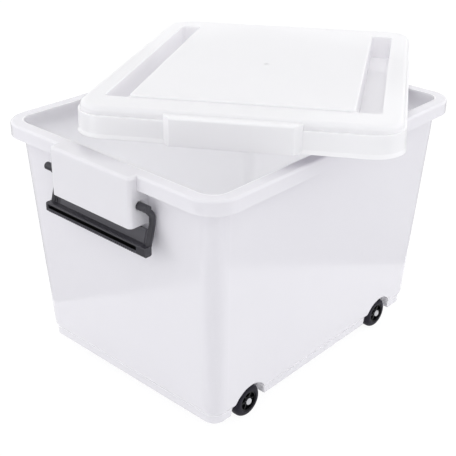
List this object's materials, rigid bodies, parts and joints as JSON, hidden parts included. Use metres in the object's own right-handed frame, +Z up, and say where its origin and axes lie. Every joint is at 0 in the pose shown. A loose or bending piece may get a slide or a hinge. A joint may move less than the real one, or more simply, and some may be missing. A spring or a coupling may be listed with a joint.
{
  "type": "rolling ingredient bin",
  "caption": "White plastic ingredient bin on small fixed wheels, with swinging dark handles at its ends and a loose lid that lies askew across its rim.",
  "frame": {"origin": "on the floor, below the middle of the box round the bin and its askew lid", "axes": "+X along the bin towards the far handle, +Y to the left seen from the near handle, +Z up"},
  "size_m": [0.7749, 0.692, 0.4803],
  "materials": {
    "bin_plastic": "satin moulded",
    "lid_plastic": "satin moulded",
    "handle_plastic": "satin",
    "tyre_rubber": "matte",
    "hub_plastic": "satin",
    "axle_steel": "plated",
    "washer_plastic": "plain"
  },
  "bodies": {
    "bin": {"tub": "bin_plastic", "axle_near_right": "axle_steel", "washer_near_right": "washer_plastic", "axle_near_left": "axle_steel", "washer_near_left": "washer_plastic", "axle_far_right": "axle_steel", "washer_far_right": "washer_plastic", "axle_far_left": "axle_steel", "washer_far_left": "washer_plastic"},
    "lid": {"lid": "lid_plastic"},
    "handle_near": {"handle_near": "handle_plastic"},
    "handle_far": {"handle_far": "handle_plastic"},
    "wheel_near_right": {"tyre_near_right": "tyre_rubber", "hub_near_right": "hub_plastic"},
    "wheel_near_left": {"tyre_near_left": "tyre_rubber", "hub_near_left": "hub_plastic"},
    "wheel_far_right": {"tyre_far_right": "tyre_rubber", "hub_far_right": "hub_plastic"},
    "wheel_far_left": {"tyre_far_left": "tyre_rubber", "hub_far_left": "hub_plastic"}
  },
  "joints": [
    {"name": "lid_lift", "type": "slide", "parent": "bin", "child": "lid", "axis": [0, 0, 1], "range_m": [0, 0.25]},
    {"name": "handle_near_swing", "type": "hinge", "parent": "bin", "child": "handle_near", "pos_m": [-0.36999, -0.01784, 0.3695], "axis": [0, 1, 0], "range_deg": [0, 160]},
    {"name": "handle_far_swing", "type": "hinge", "parent": "bin", "child": "handle_far", "pos_m": [0.22501, -0.01784, 0.3695], "axis": [0, -1, 0], "range_deg": [0, 110]},
    {"name": "wheel_near_right_roll", "type": "hinge", "parent": "bin", "child": "wheel_near_right", "pos_m": [-0.25299, -0.20234, 0.0275], "axis": [0, 1, 0], "continuous": true},
    {"name": "wheel_near_left_roll", "type": "hinge", "parent": "bin", "child": "wheel_near_left", "pos_m": [-0.25299, 0.16666, 0.0275], "axis": [0, 1, 0], "continuous": true},
    {"name": "wheel_far_right_roll", "type": "hinge", "parent": "bin", "child": "wheel_far_right", "pos_m": [0.09801, -0.20234, 0.0275], "axis": [0, 1, 0], "continuous": true},
    {"name": "wheel_far_left_roll", "type": "hinge", "parent": "bin", "child": "wheel_far_left", "pos_m": [0.09801, 0.16666, 0.0275], "axis": [0, 1, 0], "continuous": true}
  ]
}
